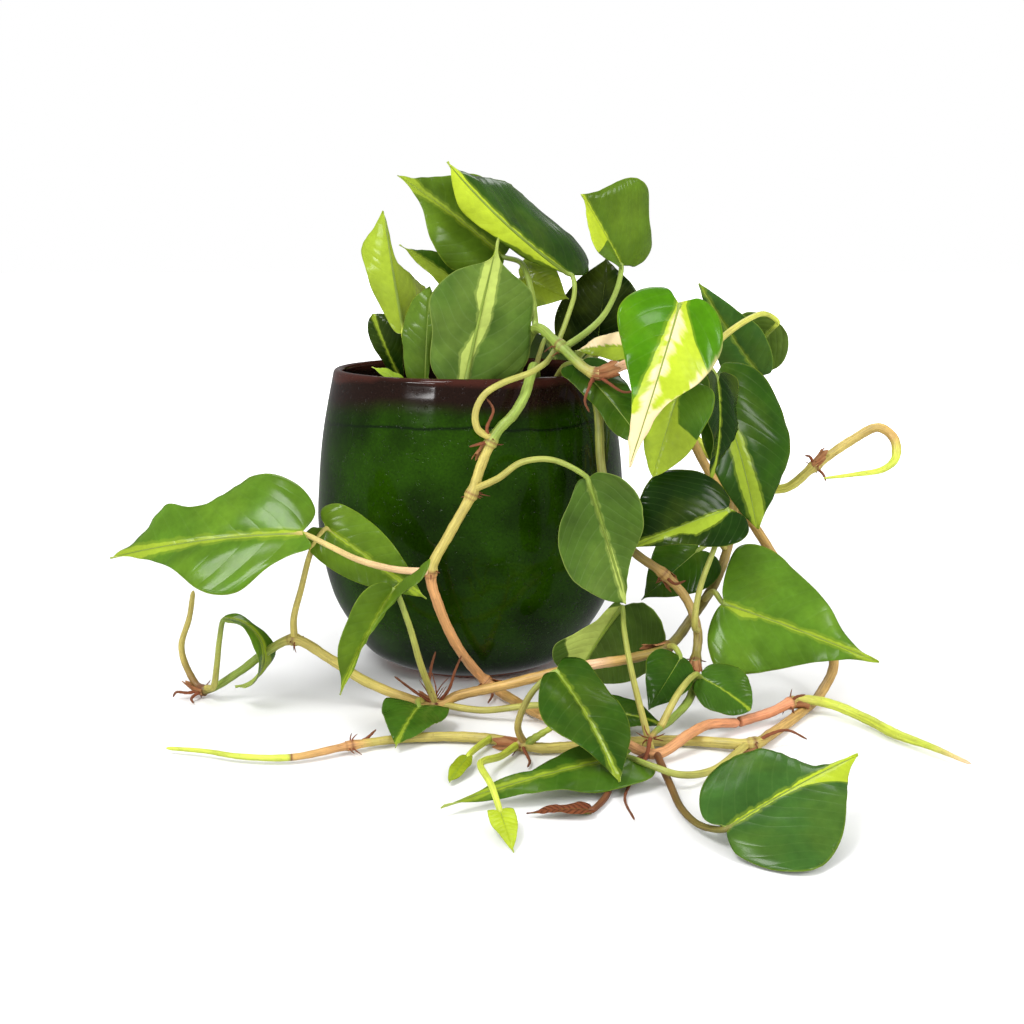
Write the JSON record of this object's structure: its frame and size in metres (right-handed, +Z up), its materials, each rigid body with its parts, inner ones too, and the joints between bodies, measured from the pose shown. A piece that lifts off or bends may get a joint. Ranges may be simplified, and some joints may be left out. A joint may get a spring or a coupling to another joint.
{
  "type": "potted trailing philodendron",
  "caption": "Trailing philodendron with heart-shaped, yellow-striped leaves, its vines hanging over and lying around a rounded deep green glazed pot.",
  "frame": {"origin": "centre of the pot's flat foot, on the surface that it stands on", "axes": "+Z up along the pot's axis, +X along the spread of the vines to the right as seen from the front, -Y towards the front"},
  "size_m": [0.3821, 0.3778, 0.2552],
  "materials": {
    "glazed_pot": "deep green speckled gloss glaze, brown at the lip and foot",
    "potting_mix": "dark loose bark and peat mix",
    "stem": "tan to yellow-green, faintly grooved, satin",
    "pink_stem": "pinkish orange turning yellow, satin",
    "leaf": "green with a yellow-green centre stripe, waxy gloss",
    "lime_leaf": "yellow-green, soft satin",
    "cream_leaf": "green, yellow and cream patches, waxy gloss",
    "leaf_underside": "matt grey-green back with a pale centre vein",
    "dry_leaf": "dry, brown and crumpled"
  },
  "bodies": {
    "root": {"back_vine": "stem", "floor_vine": "stem", "front_vine": "stem", "hanging_vine": "stem", "hook_vine": "stem", "leaf_back_hanging_high": "leaf", "leaf_back_hanging_low": "leaf", "leaf_back_hanging_mid": "leaf", "leaf_back_high": "leaf", "leaf_back_left": "leaf", "leaf_back_right": "leaf", "leaf_broad_underside": "leaf_underside", "leaf_centre_dark": "leaf", "leaf_centre_pale": "lime_leaf", "leaf_cream_heart": "cream_leaf", "leaf_dark_left": "leaf", "leaf_dried_leaf": "dry_leaf", "leaf_far_right_dull": "leaf", "leaf_far_right_under": "leaf_underside", "leaf_floor_long": "leaf", "leaf_floor_pointed": "leaf", "leaf_floor_right": "leaf", "leaf_floor_tucked": "leaf", "leaf_front_underside": "leaf_underside", "leaf_left_big": "leaf", "leaf_left_centre": "leaf", "leaf_left_curled": "leaf", "leaf_left_pleated": "leaf", "leaf_lime_behind": "lime_leaf", "leaf_lime_fold": "lime_leaf", "leaf_low_folded": "leaf", "leaf_low_hanging": "leaf", "leaf_low_right_dark": "leaf", "leaf_low_small": "leaf", "leaf_middle_glossy": "leaf", "leaf_middle_low": "leaf", "leaf_narrow_upright": "leaf", "leaf_pale_shoot": "lime_leaf", "leaf_right_big": "leaf", "leaf_right_folded": "leaf", "leaf_right_lime": "leaf", "leaf_right_wide": "leaf", "leaf_rim_droop": "leaf", "leaf_rim_pale": "cream_leaf", "leaf_rim_sprout": "leaf", "leaf_upper_left": "leaf", "leaf_upper_long": "leaf", "leaf_upper_right": "leaf", "leaf_yellow_baby": "lime_leaf", "left_vine": "stem", "pink_vine": "pink_stem", "pot": "glazed_pot", "potting_mix": "potting_mix"}
  },
  "joints": []
}
